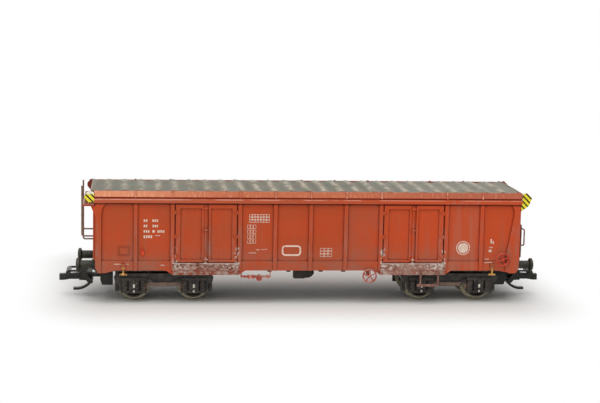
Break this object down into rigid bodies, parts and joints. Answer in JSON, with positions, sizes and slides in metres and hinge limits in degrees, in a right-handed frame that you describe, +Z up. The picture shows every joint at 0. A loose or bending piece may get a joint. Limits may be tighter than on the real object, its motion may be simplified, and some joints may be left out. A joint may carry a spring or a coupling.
{
  "type": "model railway bogie van",
  "caption": "Ready-to-run scale model of a high-sided bogie goods van with double doors, sheeted roof, bow couplers and swivelling bogies.",
  "frame": {"origin": "middle of the van in plan, at the height of the wheel flange tips", "axes": "+X along the van towards the plain end, -Y the near side, +Z up"},
  "size_m": [0.1247, 0.0262, 0.0297],
  "materials": {
    "body_red": "matt, weathered",
    "sheet_grey": "dull matt",
    "frame_black": "matt",
    "weight_steel": "rolled",
    "platform_red": "matt",
    "wire_dark": "blackened wire",
    "step_pink": "dusty matt",
    "detail_red": "matt",
    "buffer_black": "satin",
    "guard_yellow": "printed",
    "hook_yellow": "satin",
    "bogie_brown": "dusty matt",
    "screw_steel": "plain",
    "axle_steel": "turned",
    "wheel_steel": "browned, bright rim",
    "coupler_black": "satin"
  },
  "bodies": {
    "van": {"body_shell": "body_red", "roof_cover": "sheet_grey", "chassis": "frame_black", "air_tank": "frame_black", "brake_cylinder": "frame_black", "ballast": "weight_steel", "end_platform": "platform_red", "platform_rail_near": "wire_dark", "platform_rail_mid": "wire_dark", "end_handle_short": "wire_dark", "end_handle_long": "wire_dark", "step_near": "step_pink", "step_far": "step_pink", "changeover_near": "detail_red", "changeover_far": "detail_red", "side_wheel_near": "detail_red", "side_wheel_far": "detail_red", "brake_wheel_near": "detail_red", "brake_wheel_far": "detail_red", "buffer_left_near": "buffer_black", "buffer_left_far": "buffer_black", "guard_left_near": "guard_yellow", "guard_left_far": "guard_yellow", "rope_hook_left_near": "hook_yellow", "rope_hook_left_far": "hook_yellow", "bogie_left_screw": "screw_steel", "coupler_tray_left": "coupler_black", "buffer_right_near": "buffer_black", "buffer_right_far": "buffer_black", "guard_right_near": "guard_yellow", "guard_right_far": "guard_yellow", "rope_hook_right_near": "hook_yellow", "rope_hook_right_far": "hook_yellow", "bogie_right_screw": "screw_steel", "coupler_tray_right": "coupler_black"},
    "bogie_left": {"bogie_left_frame": "bogie_brown", "bogie_left_brakes": "bogie_brown"},
    "wheelset_left_1": {"axle_left_1": "axle_steel", "wheel_left_1_near": "wheel_steel", "wheel_left_1_far": "wheel_steel"},
    "wheelset_left_2": {"axle_left_2": "axle_steel", "wheel_left_2_near": "wheel_steel", "wheel_left_2_far": "wheel_steel"},
    "draw_left": {"draw_bar_left": "coupler_black"},
    "coupler_left": {"coupler_head_left": "coupler_black"},
    "bow_left": {"coupler_bow_left": "coupler_black"},
    "bogie_right": {"bogie_right_frame": "bogie_brown", "bogie_right_brakes": "bogie_brown"},
    "wheelset_right_1": {"axle_right_1": "axle_steel", "wheel_right_1_near": "wheel_steel", "wheel_right_1_far": "wheel_steel"},
    "wheelset_right_2": {"axle_right_2": "axle_steel", "wheel_right_2_near": "wheel_steel", "wheel_right_2_far": "wheel_steel"},
    "draw_right": {"draw_bar_right": "coupler_black"},
    "coupler_right": {"coupler_head_right": "coupler_black"},
    "bow_right": {"coupler_bow_right": "coupler_black"}
  },
  "joints": [
    {"name": "bogie_left_swivel", "type": "hinge", "parent": "van", "child": "bogie_left", "pos_m": [-0.0366, 0, 0.0078], "axis": [0, 0, 1], "range_deg": [-8, 8]},
    {"name": "wheelset_left_1_spin", "type": "hinge", "parent": "bogie_left", "child": "wheelset_left_1", "pos_m": [-0.0441, 0, 0.00435], "axis": [0, 1, 0], "continuous": true},
    {"name": "wheelset_left_2_spin", "type": "hinge", "parent": "bogie_left", "child": "wheelset_left_2", "pos_m": [-0.0291, 0, 0.00435], "axis": [0, 1, 0], "continuous": true},
    {"name": "draw_left_slide", "type": "slide", "parent": "van", "child": "draw_left", "axis": [-1, 0, 0], "range_m": [-0.0013, 0.0004]},
    {"name": "coupler_left_swing", "type": "hinge", "parent": "draw_left", "child": "coupler_left", "pos_m": [-0.0557, 0, 0.0055], "axis": [0, 0, 1], "range_deg": [-10, 10]},
    {"name": "bow_left_lift", "type": "hinge", "parent": "coupler_left", "child": "bow_left", "pos_m": [-0.0566, 0, 0.00575], "axis": [0, 1, 0], "range_deg": [0, 25]},
    {"name": "bogie_right_swivel", "type": "hinge", "parent": "van", "child": "bogie_right", "pos_m": [0.0366, 0, 0.0078], "axis": [0, 0, 1], "range_deg": [-8, 8]},
    {"name": "wheelset_right_1_spin", "type": "hinge", "parent": "bogie_right", "child": "wheelset_right_1", "pos_m": [0.0291, 0, 0.00435], "axis": [0, 1, 0], "continuous": true},
    {"name": "wheelset_right_2_spin", "type": "hinge", "parent": "bogie_right", "child": "wheelset_right_2", "pos_m": [0.0441, 0, 0.00435], "axis": [0, 1, 0], "continuous": true},
    {"name": "draw_right_slide", "type": "slide", "parent": "van", "child": "draw_right", "axis": [1, 0, 0], "range_m": [0, 0.0017]},
    {"name": "coupler_right_swing", "type": "hinge", "parent": "draw_right", "child": "coupler_right", "pos_m": [0.0544, 0, 0.0055], "axis": [0, 0, 1], "range_deg": [-10, 10]},
    {"name": "bow_right_lift", "type": "hinge", "parent": "coupler_right", "child": "bow_right", "pos_m": [0.0553, 0, 0.00575], "axis": [0, -1, 0], "range_deg": [0, 25]}
  ]
}
